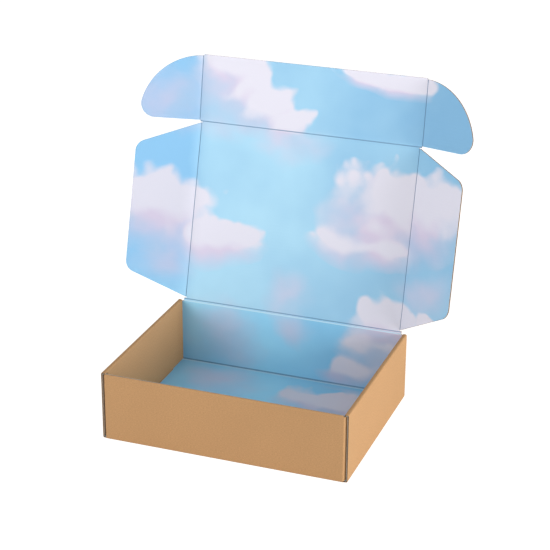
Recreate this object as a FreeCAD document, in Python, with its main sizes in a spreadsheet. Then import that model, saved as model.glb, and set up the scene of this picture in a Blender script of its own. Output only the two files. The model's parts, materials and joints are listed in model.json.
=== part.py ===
import FreeCAD, Part
import math
import os
import Sketcher

# Corrugated mailer box, 9 x 7 x 2.5 inch class: one die-cut sheet of thin board, folded into a
# double-sided tray with a hinged lid. The frame stands on the middle of the tray's underside,
# +Z up, the front wall at -Y and the lid's hinge at +Y. The lid stands open, as in its rest pose.

# Driving sizes, in millimetres and degrees
SIZES = [
    ("board", 1.4, "thickness of the board"),
    ("outer_width", 240.4, "over the outer side panels"),
    ("outer_depth", 184.0, "over the front and back walls"),
    ("outer_height", 67.5, "from the underside to the top of the side ridges"),
    ("side_setback", 1.6, "side panels' cut ends behind the front and back faces"),
    ("flap_gap", 0.05, "clearance each side of a corner flap"),
    ("wall_gap", 0.3, "inner side panels' ends to the front and back walls"),
    ("wall_end_gap", 0.2, "full-height part of a wall to the inner side panel's face"),
    ("ridge_gap", 0.4, "corner flap's top edge below the ridge strip"),
    ("foot_gap", 0.2, "inner side panel's foot above the bottom panel"),
    ("front_drop", 0.5, "front wall's top edge below the ridges"),
    ("flap_length", 58.0, "corner flap's length from the wall's outer face"),
    ("corner_radius", 2.4, "outside radius where a wall folds into its corner flap"),
    ("fold_radius", 1.0, "outside radius of the folds along the bottom"),
    ("ridge_radius", 0.8, "outside radius of the ridges' two folds"),
    ("tab_length", 40.0, "locking tab's length along the side"),
    ("tab_inset", 29.0, "locking tab's far end to the front or back face"),
    ("tab_recess", 0.25, "locking tab's end above the underside"),
    ("slot_side_gap", 0.35, "clearance each side of a tab in its slot"),
    ("slot_end_gap", 1.2, "clearance at each end of a tab in its slot"),
    ("strip_width", 1.8, "between the hinge's two creases"),
    ("strip_closed", 25.0, "strip's lean towards the front when the lid is shut"),
    ("hinge_inset", 1.6, "ends of the hinge inside the inner side panels' faces"),
    ("crease_gap", 0.1, "fold edge to its crease line, each side"),
    ("crease_land", 0.1, "what a crease leaves flat at a fold edge"),
    ("lid_gap", 0.15, "shut lid above the ridges"),
    ("ear_gap", 0.15, "folded ear to the inner side panel"),
    ("wing_gap", 0.9, "folded wing to the folded ear"),
    ("tuck_gap", 0.3, "shut tuck flap to the front wall"),
    ("tuck_floor_gap", 0.75, "shut tuck flap's edge above the bottom panel"),
    ("wing_floor_gap", 3.45, "shut wing's edge above the bottom panel"),
    ("wing_low_notch", 1.7, "wing's start above the lid's upper crease"),
    ("wing_high_notch", 1.3, "wing's end below the tuck fold"),
    ("notch_relief", 0.7, "lid's fold edge beyond each end of the wing"),
    ("wing_low_slope", 21.2, "slant of the wing's lower edge"),
    ("wing_high_slope", 22.2, "slant of the wing's upper edge"),
    ("wing_corner", 12.0, "radius of a wing's two corners"),
    ("ear_notch", 0.8, "ear's lower edge above the tuck fold"),
    ("ear_centre_rise", 2.4, "ear's arc centre above the tuck fold"),
    ("ear_centre_inset", 1.7, "ear's arc centre inside the ear's fold"),
    ("ear_drop", 1.2, "top of the ear's arc below the tuck flap's edge"),
    ("ear_corner", 14.0, "radius of an ear's lower corner"),
    ("tuck_corner", 1.0, "cut of the tuck flap's two free corners"),
    ("lid_tilt", 15.4, "open lid's lean behind the upright"),
    ("tuck_bend", 5.0, "tuck flap's forward bend at rest"),
    ("left_wing_bend", 25.0, "left wing's forward bend at rest"),
    ("right_wing_bend", 33.0, "right wing's forward bend at rest"),
    ("left_ear_bend", 22.0, "left ear's forward bend at rest"),
    ("right_ear_bend", 25.0, "right ear's forward bend at rest"),
]

# Places worked out from the driving sizes; each may use those above it
PLACES = [
    ("half_width", "Sizes.outer_width / 2"),
    ("half_depth", "Sizes.outer_depth / 2"),
    ("panel_inside", "half_width - Sizes.board"),
    ("flap_outside", "panel_inside - Sizes.flap_gap"),
    ("flap_inside", "flap_outside - Sizes.board"),
    ("inner_outside", "flap_inside - Sizes.flap_gap"),
    ("inner_face", "inner_outside - Sizes.board"),
    ("side_end", "half_depth - Sizes.side_setback"),
    ("wall_face", "half_depth - Sizes.board"),
    ("inner_end", "wall_face - Sizes.wall_gap"),
    ("wall_end", "inner_face - Sizes.wall_end_gap"),
    ("wall_straight", "flap_outside - Sizes.corner_radius"),
    ("flap_end", "half_depth - Sizes.flap_length"),
    ("ridge_under", "Sizes.outer_height - Sizes.board"),
    ("flap_top", "ridge_under - Sizes.ridge_gap"),
    ("inner_foot", "Sizes.board + Sizes.foot_gap"),
    ("front_top", "Sizes.outer_height - Sizes.front_drop"),
    ("tab_far", "half_depth - Sizes.tab_inset"),
    ("tab_near", "tab_far - Sizes.tab_length"),
    ("hinge_end", "inner_face - Sizes.hinge_inset"),
    ("ear_axis", "inner_face - Sizes.ear_gap - Sizes.board / 2"),
    ("wing_axis", "ear_axis - Sizes.board - Sizes.wing_gap"),
    ("lid_level", "Sizes.outer_height + Sizes.lid_gap + Sizes.board / 2"),
    ("crease_y", "half_depth - Sizes.board / 2"),
    ("crease_z", "lid_level - Sizes.strip_width * cos(Sizes.strip_closed * 1deg)"),
    ("back_top", "crease_z - Sizes.crease_gap"),
    ("lid_back", "crease_y - Sizes.strip_width * sin(Sizes.strip_closed * 1deg)"),
    ("tuck_plane", "wall_face - Sizes.tuck_gap - Sizes.board / 2"),
    ("lid_length", "lid_back + tuck_plane"),
    ("tuck_length", "lid_level - Sizes.board - Sizes.tuck_floor_gap"),
    ("wing_depth", "lid_level - Sizes.board - Sizes.wing_floor_gap"),
    ("wing_low_end", "Sizes.wing_low_notch + wing_depth * tan(Sizes.wing_low_slope * 1deg)"),
    ("wing_high_start", "lid_length - Sizes.wing_high_notch"),
    ("wing_high_end", "wing_high_start - wing_depth * tan(Sizes.wing_high_slope * 1deg)"),
    ("ear_radius", "tuck_length - Sizes.ear_drop - Sizes.ear_centre_rise"),
    ("crease_cut", "(Sizes.board - Sizes.crease_land) / 2"),
    ("strip_lean", "45 + Sizes.lid_tilt / 2 - Sizes.strip_closed"),
    ("upper_crease_y", "crease_y + Sizes.strip_width * sin(strip_lean * 1deg)"),
    ("upper_crease_z", "crease_z + Sizes.strip_width * cos(strip_lean * 1deg)"),
]

TOLERANCE = 1e-4


def open_document():
    """The document, its sheet of driving sizes and the places worked out from it."""
    document = FreeCAD.newDocument("mailer_box")
    sheet = document.addObject("Spreadsheet::Sheet", "Sizes")
    for row, (alias, value, note) in enumerate(SIZES, start=1):
        sheet.set(f"A{row}", alias)
        sheet.set(f"B{row}", str(value))
        sheet.setAlias(f"B{row}", alias)
        sheet.set(f"C{row}", note)
    document.recompute()
    places = document.addObject("App::VarSet", "Places")
    for name, formula in PLACES:
        places.addProperty("App::PropertyFloat", name, "Places")
        places.setExpression(name, formula)
    document.recompute()
    return document, sheet, places


def sketch_on(body, role, name, offset=None):
    """An empty sketch on one of the body's own origin planes, lifted by a formula."""
    sketch = body.newObject("Sketcher::SketchObject", name)
    plane = next(feature for feature in body.Origin.OriginFeatures if feature.Role == role)
    sketch.AttachmentSupport = [(plane, "")]
    sketch.MapMode = "FlatFace"
    if offset:
        sketch.setExpression("AttachmentOffset.Base.z", offset)
    return sketch


def fix_point(sketch, geometry, point, across, up):
    """Hold one point of a sketch at two formulas from the sketch's origin."""
    for kind, formula in (("DistanceX", across), ("DistanceY", up)):
        number = sketch.addConstraint(Sketcher.Constraint(kind, -1, 1, geometry, point, 1.0))
        sketch.setExpression(f"Constraints[{number}]", formula)


def outline(sketch, corners):
    """A closed outline of straight lines through corners, each a pair of formulas."""
    first = sketch.GeometryCount
    count = len(corners)
    turns = [2 * math.pi * step / count for step in range(count)]
    starts = [FreeCAD.Vector(math.cos(turn), math.sin(turn), 0) for turn in turns]
    for step in range(count):
        sketch.addGeometry(Part.LineSegment(starts[step], starts[(step + 1) % count]))
    for step in range(count):
        after = first + (step + 1) % count
        sketch.addConstraint(Sketcher.Constraint("Coincident", first + step, 2, after, 1))
    for step, (across, up) in enumerate(corners):
        fix_point(sketch, first + step, 1, across, up)


def rectangle(sketch, left, low, right, high):
    """A closed rectangle between four formulas."""
    outline(sketch, [(left, low), (right, low), (right, high), (left, high)])


def pad(body, sketch, name, length, both_ways=False):
    """Thicken a sketch to a formula's length, upwards or to both sides of its plane."""
    feature = body.newObject("PartDesign::Pad", name)
    feature.Profile = sketch
    feature.setExpression("Length", length)
    if both_ways:
        feature.SideType = "Symmetric"
    body.Tip = feature
    body.Document.recompute()


def pocket(body, sketch, name, depth):
    """Cut a sketch upwards to a formula's depth, and check that it cut something."""
    before = body.Tip.Shape.Volume
    feature = body.newObject("PartDesign::Pocket", name)
    feature.Profile = sketch
    feature.Reversed = True
    feature.setExpression("Length", depth)
    body.Tip = feature
    body.Document.recompute()
    if feature.Shape.Volume > before - TOLERANCE:
        raise RuntimeError(f"{name} cuts nothing")


def near(value, target):
    """Whether two lengths are equal, within the tolerance."""
    return abs(value - target) < TOLERANCE


def dress(body, kind, name, formula, test):
    """A Fillet or Chamfer, sized by a formula, on the edges whose two ends pass the test."""
    base = body.Tip
    names = []
    for number, edge in enumerate(base.Shape.Edges, start=1):
        if len(edge.Vertexes) == 2 and test(edge.Vertexes[0].Point, edge.Vertexes[1].Point):
            names.append(f"Edge{number}")
    if not names:
        raise RuntimeError(f"{name} finds no edge")
    feature = body.newObject(f"PartDesign::{kind}", name)
    feature.Base = (base, names)
    feature.setExpression("Radius" if kind == "Fillet" else "Size", formula)
    body.Tip = feature
    body.Document.recompute()


def new_body(document, name):
    """An empty body of the given name."""
    body = document.addObject("PartDesign::Body", name)
    body.Label = name
    return body


def place(body, across, along, out, axis, angle, carrier=None):
    """Put a body at three formulas and turn it about an axis, in its carrier's frame if any."""
    where = f"create(<<vector>>; {across} * 1mm; {along} * 1mm; {out} * 1mm)"
    turn = f"create(<<rotation>>; create(<<vector>>; {axis}); {angle})"
    formula = f"create(<<placement>>; {where}; {turn})"
    if carrier:
        formula = f"{carrier.Name}.Placement * {formula}"
    body.setExpression("Placement", formula)
    body.Document.recompute()


def build_tray(document, sizes, places):
    """Bottom, double side walls with ridges and tabs, front and back walls with corner flaps."""
    body = new_body(document, "tray")

    bottom = sketch_on(body, "XY_Plane", "bottom_outline")
    outline(bottom, [
        ("Places.flap_outside", "-Places.half_depth"),
        ("Places.flap_outside", "-Places.side_end"),
        ("Places.half_width", "-Places.side_end"),
        ("Places.half_width", "Places.side_end"),
        ("Places.flap_outside", "Places.side_end"),
        ("Places.flap_outside", "Places.half_depth"),
        ("-Places.flap_outside", "Places.half_depth"),
        ("-Places.flap_outside", "Places.side_end"),
        ("-Places.half_width", "Places.side_end"),
        ("-Places.half_width", "-Places.side_end"),
        ("-Places.flap_outside", "-Places.side_end"),
        ("-Places.flap_outside", "-Places.half_depth"),
    ])
    pad(body, bottom, "bottom_panel", "Sizes.board")

    slots = sketch_on(body, "XY_Plane", "slot_outlines")
    for side in ("", "-"):
        for end in ("", "-"):
            rectangle(
                slots,
                f"{side}(Places.inner_face - Sizes.slot_side_gap)",
                f"{end}(Places.tab_near - Sizes.slot_end_gap)",
                f"{side}(Places.inner_outside + Sizes.slot_side_gap)",
                f"{end}(Places.tab_far + Sizes.slot_end_gap)",
            )
    pocket(body, slots, "slots", "Sizes.board")

    sides = sketch_on(body, "XZ_Plane", "side_section")
    for side in ("", "-"):
        outline(sides, [
            (f"{side}Places.half_width", "Sizes.board / 2"),
            (f"{side}Places.half_width", "Sizes.outer_height"),
            (f"{side}Places.inner_face", "Sizes.outer_height"),
            (f"{side}Places.inner_face", "Places.ridge_under"),
            (f"{side}Places.panel_inside", "Places.ridge_under"),
            (f"{side}Places.panel_inside", "Sizes.board / 2"),
        ])
    pad(body, sides, "side_panels", "2 * Places.side_end", both_ways=True)

    inner = sketch_on(body, "XZ_Plane", "inner_panel_section")
    for side in ("", "-"):
        rectangle(
            inner,
            f"{side}Places.inner_face",
            "Places.inner_foot",
            f"{side}Places.inner_outside",
            "Places.ridge_under + Sizes.board / 2",
        )
    pad(body, inner, "inner_panels", "2 * Places.inner_end", both_ways=True)

    tabs = sketch_on(body, "XY_Plane", "tab_outlines", "Sizes.tab_recess")
    for side in ("", "-"):
        for end in ("", "-"):
            rectangle(
                tabs,
                f"{side}Places.inner_face",
                f"{end}Places.tab_near",
                f"{side}Places.inner_outside",
                f"{end}Places.tab_far",
            )
    pad(body, tabs, "tabs", "Places.inner_foot")

    for wall, end, top in (("front", "-", "Places.front_top"), ("back", "", "Places.back_top")):
        low = sketch_on(body, "XY_Plane", f"{wall}_wall_foot")
        rectangle(
            low,
            "-Places.wall_straight",
            f"{end}Places.half_depth",
            "Places.wall_straight",
            f"{end}Places.wall_face",
        )
        pad(body, low, f"{wall}_wall", "Places.flap_top")
        full = sketch_on(body, "XY_Plane", f"{wall}_wall_full_foot")
        rectangle(
            full,
            "-Places.wall_end",
            f"{end}Places.half_depth",
            "Places.wall_end",
            f"{end}Places.wall_face",
        )
        pad(body, full, f"{wall}_wall_full", top)
        flaps = sketch_on(body, "XY_Plane", f"{wall}_flap_section", "Places.inner_foot")
        for side in ("", "-"):
            outline(flaps, [
                (f"{side}(Places.wall_straight - Sizes.board)", f"{end}Places.half_depth"),
                (f"{side}Places.flap_outside", f"{end}Places.half_depth"),
                (f"{side}Places.flap_outside", f"{end}Places.flap_end"),
                (f"{side}Places.flap_inside", f"{end}Places.flap_end"),
                (f"{side}Places.flap_inside", f"{end}Places.wall_face"),
                (f"{side}(Places.wall_straight - Sizes.board)", f"{end}Places.wall_face"),
            ])
        pad(body, flaps, f"{wall}_corner_flaps", "Places.flap_top - Places.inner_foot")

    def upright_at(across, along):
        def test(start, finish):
            ends = (start, finish)
            in_place = all(near(abs(end.x), across) and near(abs(end.y), along) for end in ends)
            return in_place and min(start.z, finish.z) > sizes.board + TOLERANCE
        return test

    def ridge_fold(start, finish):
        ends = (start, finish)
        level = all(near(end.z, sizes.outer_height) for end in ends)
        outer = all(near(abs(end.x), places.half_width) for end in ends)
        inner_edge = all(near(abs(end.x), places.inner_face) for end in ends)
        return level and (outer or inner_edge)

    def bottom_fold(start, finish):
        ends = (start, finish)
        level = all(near(end.z, 0) for end in ends)
        long_side = all(near(abs(end.x), places.half_width) for end in ends)
        short_side = all(near(abs(end.y), places.half_depth) for end in ends)
        return level and (long_side or short_side)

    def hinge_edge(start, finish):
        level = near(start.z, places.back_top) and near(finish.z, places.back_top)
        return level and near(start.y, finish.y)

    dress(body, "Fillet", "corner_folds", "Sizes.corner_radius",
          upright_at(places.flap_outside, places.half_depth))
    dress(body, "Fillet", "corner_hollows", "Sizes.corner_radius - Sizes.board",
          upright_at(places.flap_inside, places.wall_face))
    dress(body, "Fillet", "bottom_folds", "Sizes.fold_radius", bottom_fold)
    dress(body, "Fillet", "ridge_folds", "Sizes.ridge_radius", ridge_fold)
    dress(body, "Chamfer", "hinge_crease", "Places.crease_cut", hinge_edge)
    return body


def crease(body, name, places, sizes, test):
    """A V-shaped fold edge: both faces bevelled along the edges whose ends pass the test."""
    def on_face(start, finish):
        face = near(start.z, finish.z) and near(abs(start.z), sizes.board / 2)
        return face and test(start) and test(finish)

    dress(body, "Chamfer", name, "Places.crease_cut", on_face)


def round_corners(body, name, formula, test):
    """Round the board's free corners, found by a test on the plan position."""
    def through_board(start, finish):
        upright = near(start.x, finish.x) and near(start.y, finish.y)
        return upright and test(start)

    dress(body, "Fillet", name, formula, through_board)


def build_strip(document, sizes, places):
    """The narrow strip of board between the hinge's two creases."""
    body = new_body(document, "lid_hinge_strip")
    plan = sketch_on(body, "XY_Plane", "strip_outline")
    rectangle(
        plan,
        "-Places.hinge_end",
        "Sizes.crease_gap",
        "Places.hinge_end",
        "Sizes.strip_width - Sizes.crease_gap",
    )
    pad(body, plan, "strip", "Sizes.board", both_ways=True)
    crease(body, "creases", places, sizes, lambda point: True)
    place(body, "0", "Places.crease_y", "Places.crease_z", "1; 0; 0", "90 - Places.strip_lean")
    return body


def build_lid(document, sizes, places):
    """The lid's panel, from its upper crease to the tuck fold."""
    body = new_body(document, "lid_panel")
    plan = sketch_on(body, "XY_Plane", "lid_outline")
    low = "Sizes.crease_gap"
    high = "Places.lid_length - Sizes.crease_gap"
    fold = "(Places.wing_axis - Sizes.crease_gap)"
    fold_start = "Sizes.wing_low_notch - Sizes.notch_relief"
    fold_end = "Places.wing_high_start + Sizes.notch_relief"
    outline(plan, [
        ("-Places.hinge_end", low),
        ("Places.hinge_end", low),
        (fold, fold_start),
        (fold, fold_end),
        ("Places.hinge_end", high),
        ("-Places.hinge_end", high),
        (f"-{fold}", fold_end),
        (f"-{fold}", fold_start),
    ])
    pad(body, plan, "panel", "Sizes.board", both_ways=True)
    fold_x = places.wing_axis - sizes.crease_gap
    crease(body, "side_creases", places, sizes, lambda point: near(abs(point.x), fold_x))
    crease(body, "hinge_crease", places, sizes, lambda point: near(point.y, sizes.crease_gap))
    fold_y = places.lid_length - sizes.crease_gap
    crease(body, "tuck_crease", places, sizes, lambda point: near(point.y, fold_y))
    place(
        body, "0", "Places.upper_crease_y", "Places.upper_crease_z", "1; 0; 0", "90 - Sizes.lid_tilt",
    )
    return body


def build_wing(document, sizes, places, lid, name, side, bend):
    """A side flap of the lid, with slanted edges and two rounded corners."""
    body = new_body(document, name)
    plan = sketch_on(body, "XY_Plane", f"{name}_outline")
    outline(plan, [
        (f"{side}Sizes.crease_gap", "Sizes.wing_low_notch"),
        (f"{side}Places.wing_depth", "Places.wing_low_end"),
        (f"{side}Places.wing_depth", "Places.wing_high_end"),
        (f"{side}Sizes.crease_gap", "Places.wing_high_start"),
    ])
    pad(body, plan, f"{name}_panel", "Sizes.board", both_ways=True)
    round_corners(body, f"{name}_corners", "Sizes.wing_corner",
                  lambda point: near(abs(point.x), places.wing_depth))
    crease(body, f"{name}_crease", places, sizes,
           lambda point: near(abs(point.x), sizes.crease_gap))
    turn = "-1" if side == "" else "1"
    place(body, f"{side}Places.wing_axis", "0", "0", f"0; {turn}; 0", bend, lid)
    return body


def build_tuck(document, sizes, places, lid):
    """The tuck flap along the lid's front edge."""
    body = new_body(document, "tuck_flap")
    plan = sketch_on(body, "XY_Plane", "tuck_outline")
    fold = "(Places.ear_axis - Sizes.crease_gap)"
    corner = "(Places.tuck_length - Sizes.tuck_corner)"
    outline(plan, [
        ("-Places.hinge_end", "Sizes.crease_gap"),
        ("Places.hinge_end", "Sizes.crease_gap"),
        (fold, "Sizes.ear_notch"),
        (fold, corner),
        (f"{fold} - Sizes.tuck_corner", "Places.tuck_length"),
        (f"-{fold} + Sizes.tuck_corner", "Places.tuck_length"),
        (f"-{fold}", corner),
        (f"-{fold}", "Sizes.ear_notch"),
    ])
    pad(body, plan, "tuck_panel", "Sizes.board", both_ways=True)
    fold_x = places.ear_axis - sizes.crease_gap
    crease(body, "ear_creases", places, sizes, lambda point: near(abs(point.x), fold_x))
    crease(body, "tuck_crease", places, sizes, lambda point: near(point.y, sizes.crease_gap))
    place(body, "0", "Places.lid_length", "0", "1; 0; 0", "Sizes.tuck_bend", lid)
    return body


def build_ear(document, sizes, places, tuck, name, side, bend):
    """A quarter-round flap at one end of the tuck flap."""
    body = new_body(document, name)
    plan = sketch_on(body, "XY_Plane", f"{name}_outline")
    sign = -1 if side else 1
    centre = FreeCAD.Vector(-sign * sizes.ear_centre_inset, sizes.ear_centre_rise, 0)
    reach = math.sqrt(places.ear_radius ** 2 - (sizes.ear_centre_rise - sizes.ear_notch) ** 2)
    foot = FreeCAD.Vector(centre.x + sign * reach, sizes.ear_notch, 0)
    inset = sizes.ear_centre_inset + sizes.crease_gap
    rise = math.sqrt(places.ear_radius ** 2 - inset ** 2)
    top = FreeCAD.Vector(sign * sizes.crease_gap, centre.y + rise, 0)
    start = FreeCAD.Vector(sign * sizes.crease_gap, sizes.ear_notch, 0)
    slant = math.sqrt(0.5) * places.ear_radius
    middle = FreeCAD.Vector(centre.x + sign * slant, centre.y + slant, 0)
    plan.addGeometry(Part.LineSegment(start, foot))
    plan.addGeometry(Part.Arc(foot, middle, top))
    plan.addGeometry(Part.LineSegment(top, start))
    arc_start, arc_finish = (1, 2) if sign > 0 else (2, 1)
    plan.addConstraint(Sketcher.Constraint("Coincident", 0, 2, 1, arc_start))
    plan.addConstraint(Sketcher.Constraint("Coincident", 1, arc_finish, 2, 1))
    plan.addConstraint(Sketcher.Constraint("Coincident", 2, 2, 0, 1))
    plan.addConstraint(Sketcher.Constraint("Horizontal", 0))
    plan.addConstraint(Sketcher.Constraint("Vertical", 2))
    fix_point(plan, 0, 1, f"{side}Sizes.crease_gap", "Sizes.ear_notch")
    fix_point(plan, 1, 3, f"-{side}Sizes.ear_centre_inset" if sign > 0 else
              "Sizes.ear_centre_inset", "Sizes.ear_centre_rise")
    radius = plan.addConstraint(Sketcher.Constraint("Radius", 1, places.ear_radius))
    plan.setExpression(f"Constraints[{radius}]", "Places.ear_radius")
    pad(body, plan, f"{name}_panel", "Sizes.board", both_ways=True)
    round_corners(body, f"{name}_corner", "Sizes.ear_corner",
                  lambda point: near(point.y, sizes.ear_notch)
                  and abs(point.x) > sizes.ear_corner)
    crease(body, f"{name}_crease", places, sizes,
           lambda point: near(abs(point.x), sizes.crease_gap))
    turn = "-1" if side == "" else "1"
    place(body, f"{side}Places.ear_axis", "0", "0", f"0; {turn}; 0", bend, tuck)
    return body


def export(document, bodies):
    """Check every object and write each body's shape to its own file."""
    document.recompute()
    for item in document.Objects:
        if "Invalid" in item.State or "Error" in item.State:
            raise RuntimeError(f"{item.Name} is {item.State}")
    os.makedirs("parts", exist_ok=True)
    for body in bodies:
        shape = body.Shape
        if not shape.isValid() or len(shape.Solids) != 1:
            raise RuntimeError(f"{body.Name} isn't one valid solid")
        shape.exportStep(f"parts/{body.Name}.step")
        print(body.Name, round(shape.Volume, 1), shape.BoundBox)


def main():
    document, sizes, places = open_document()
    tray = build_tray(document, sizes, places)
    strip = build_strip(document, sizes, places)
    lid = build_lid(document, sizes, places)
    tuck = build_tuck(document, sizes, places, lid)
    wings = [
        build_wing(document, sizes, places, lid, "left_wing", "-", "Sizes.left_wing_bend"),
        build_wing(document, sizes, places, lid, "right_wing", "", "Sizes.right_wing_bend"),
    ]
    ears = [
        build_ear(document, sizes, places, tuck, "left_ear", "-", "Sizes.left_ear_bend"),
        build_ear(document, sizes, places, tuck, "right_ear", "", "Sizes.right_ear_bend"),
    ]
    export(document, [tray, strip, lid, tuck, *wings, *ears])


main()
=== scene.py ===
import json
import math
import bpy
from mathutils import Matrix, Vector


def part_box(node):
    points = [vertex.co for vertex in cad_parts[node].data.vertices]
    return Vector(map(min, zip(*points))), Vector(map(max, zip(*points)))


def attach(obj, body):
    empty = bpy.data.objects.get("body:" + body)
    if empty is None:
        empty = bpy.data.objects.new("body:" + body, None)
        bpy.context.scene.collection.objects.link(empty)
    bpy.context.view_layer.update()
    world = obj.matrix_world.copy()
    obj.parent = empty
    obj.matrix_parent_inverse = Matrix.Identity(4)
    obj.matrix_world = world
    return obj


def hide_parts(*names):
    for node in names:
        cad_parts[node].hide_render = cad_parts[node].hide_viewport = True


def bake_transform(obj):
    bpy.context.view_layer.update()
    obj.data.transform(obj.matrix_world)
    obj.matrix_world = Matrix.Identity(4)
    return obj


bl_info = {
    "name": "Corrugated mailer box",
    "version": (1, 0, 0),
    "blender": (4, 5, 0),
    "location": "View3D > Sidebar > Mailer box",
    "description": "Cuts the flat board of a printed mailer box, folds it up and dresses it",
    "category": "Object",
}

import bmesh
import bpy
from mathutils import Matrix, Vector

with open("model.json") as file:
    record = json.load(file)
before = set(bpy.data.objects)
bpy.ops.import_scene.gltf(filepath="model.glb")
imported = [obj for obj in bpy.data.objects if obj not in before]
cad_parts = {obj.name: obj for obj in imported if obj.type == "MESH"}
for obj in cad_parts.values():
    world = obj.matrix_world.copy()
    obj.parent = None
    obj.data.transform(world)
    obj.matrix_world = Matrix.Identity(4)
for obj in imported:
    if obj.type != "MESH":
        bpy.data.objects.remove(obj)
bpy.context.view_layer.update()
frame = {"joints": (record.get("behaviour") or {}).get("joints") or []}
JOINTS = {joint["name"]: joint for joint in frame["joints"]}

# Metres in a millimetre
MM = 0.001


def joint_place(name):
    """A joint's place, in millimetres."""
    return Vector(JOINTS[name]["pos_m"]) / MM


def between_joints(first, second):
    """How far apart two joints lie, in millimetres."""
    return round((joint_place(second) - joint_place(first)).length, 2)


# The tray's half width and depth, its height and the lid's folds, from the frame, in millimetres
HALF_WIDTH, HALF_DEPTH, HEIGHT = (round(side / MM, 2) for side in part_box("tray")[1])
WING_AXIS = round(joint_place("right_wing_fold").x, 2)
EAR_AXIS = round(joint_place("right_ear_fold").x, 2)
STRIP_WIDTH = between_joints("lid_lower_crease", "lid_upper_crease")
LID_LENGTH = between_joints("lid_upper_crease", "tuck_fold")

# The board, and the play between two boards that lie on each other
BOARD = 1.4
HALF_BOARD = BOARD / 2
PLAY = 0.05

# The tray: side panels, the front and back walls and their corner flaps
SIDE_END = HALF_DEPTH - BOARD - 0.2
INNER_FRONT = SIDE_END - 5.2
INNER_FACE = HALF_WIDTH - 3 * BOARD - 2 * PLAY
INNER_FOOT = BOARD + 0.2
FLAP_OUTSIDE = HALF_WIDTH - BOARD - PLAY
FLAP_TOP = HEIGHT - BOARD - 0.4
FLAP_END = HALF_DEPTH - 58.0
FRONT_TOP = HEIGHT - 0.5
WALL_END = INNER_FACE - 0.2
CORNER_RADIUS = 2.4

# The front corners' two folds: where the first starts, and each one's angle and radius
FRONT_FOLD = 115.45
FRONT_BENDS = (math.radians(65), math.radians(25))
FRONT_RADII = (0.75, 2.0)

# The locking tabs and their slots in the bottom
TAB_NEAR, TAB_FAR, TAB_END = 23.0, 63.0, 0.25
SLOT_ROOM, SLOT_END_ROOM, SLOT_FRAY = 0.35, 1.2, 0.55
SLOT_INNER, SLOT_OUTER = INNER_FACE - SLOT_ROOM, INNER_FACE + BOARD + SLOT_ROOM
SLOT_NEAR, SLOT_FAR = TAB_NEAR - SLOT_END_ROOM, TAB_FAR + SLOT_END_ROOM

# The lid, its wings, the tuck flap and its ears; each crease is pressed this far to both sides
CREASE = 0.75
HINGE_END = 114.3
WING_DEPTH = 63.5
WING_LOW, WING_LOW_END = 1.7, 26.33
WING_HIGH, WING_HIGH_END = LID_LENGTH - 1.3, LID_LENGTH - 27.21
WING_CORNER = 12.0
TUCK_LENGTH = 66.2
EAR_FOOT = 0.8
EAR_TOP = TUCK_LENGTH - 1.2
EAR_CENTRE = (-1.7, 2.4)
EAR_RADIUS = 62.6
EAR_CORNER = 14.0
EAR_SEGMENTS = 192

# Creases: steps across one, how far its bend reaches from its middle, the share of its depth that is
# pressed in from the kraft face, and how far it stops short of a flap's corners
CREASE_STEPS = 12
BEND_REACH = 0.5
BACK_PRESS = 0.3
WING_LINE_INSET, EAR_LINE_INSET = 0.3, 0.1

# How far before its fold the bottom's print starts to take a painted highlight, carries it fully from and
# to, and turns dark, partly crushed and partly painted shade
HIGHLIGHT_START, HIGHLIGHT_FULL, HIGHLIGHT_STOP, CRUSH_AND_SHADE_START = 2.9, 2.5, 0.6, 0.3

# How far above their feet the walls' print is darkened, partly crushed and partly painted shade where they
# meet the bottom, and over what height that fades
CRUSH_AND_SHADE_HEIGHT, CRUSH_AND_SHADE_FADE = 0.9, 0.5

# What a point's groove says where the print's painted highlight is strongest and where the print is
# darkest, partly crushed and partly painted shade
PAINTED_HIGHLIGHT, CRUSHED_AND_SHADED = -0.45, 1

# Where the walls, the lid and the tuck flap start on the flat sheet, and the back wall's height
BACK_START = HALF_DEPTH
BACK_HEIGHT = 66.8
LID_START = BACK_START + BACK_HEIGHT + STRIP_WIDTH
TUCK_START = LID_START + LID_LENGTH

# Steps in a round fold, and steps that draw one wave of the fluted paper
FOLD_STEPS = 6
FLUTE_STEPS = 8

# The board's material slots, in the order that every piece lists them
KRAFT, PRINT, LINER, FLUTE, CREASED = range(5)

# The stage, in metres: the floor's reach to each side, and the lamps' places, sizes and target
FLOOR_REACH = 6
FRONT_LAMP_PLACE, FRONT_LAMP_SIZE = (-1.0, -1.6, 0.6), 1.3
SIDE_LAMP_PLACE, SIDE_LAMP_SIZE = (2.1, -0.35, 0.45), 0.9
LAMP_TARGET = (0, 0.03, 0.12)

# The camera: its sensor in millimetres, and how near and far it sees, in metres
SENSOR_WIDTH = 36
CLIP_NEAR, CLIP_FAR = 0.05, 30

# The print is laid out in decimetres
DM_PER_M = 10.0
MM_PER_DM = 100.0

# Clouds on the flat sheet: place across and along it, half width and half height, in decimetres
CLOUDS = (
    (-1.50, 2.56, 0.72, 0.50),
    (-0.82, 2.28, 0.52, 0.30),
    (-0.86, 4.00, 0.42, 0.36),
    (-0.70, 3.80, 0.42, 0.34),
    (-0.48, 3.62, 0.40, 0.30),
    (-0.20, 3.44, 0.34, 0.19),
    (0.54, 4.06, 0.36, 0.16),
    (0.94, 4.02, 0.36, 0.17),
    (0.86, 2.84, 0.70, 0.42),
    (1.46, 2.80, 0.52, 0.44),
    (0.74, 2.64, 0.46, 0.32),
    (0.72, 2.43, 0.66, 0.27),
    (0.98, 1.66, 0.46, 0.32),
    (1.52, 1.78, 0.24, 0.12),
    (0.92, 1.42, 0.46, 0.32),
    (1.02, 1.22, 0.50, 0.34),
    (0.66, 1.10, 0.38, 0.24),
    (0.62, 0.48, 0.74, 0.32),
    (-0.86, -0.55, 0.44, 0.26),
    (0.72, -0.62, 0.50, 0.24),
)

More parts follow.
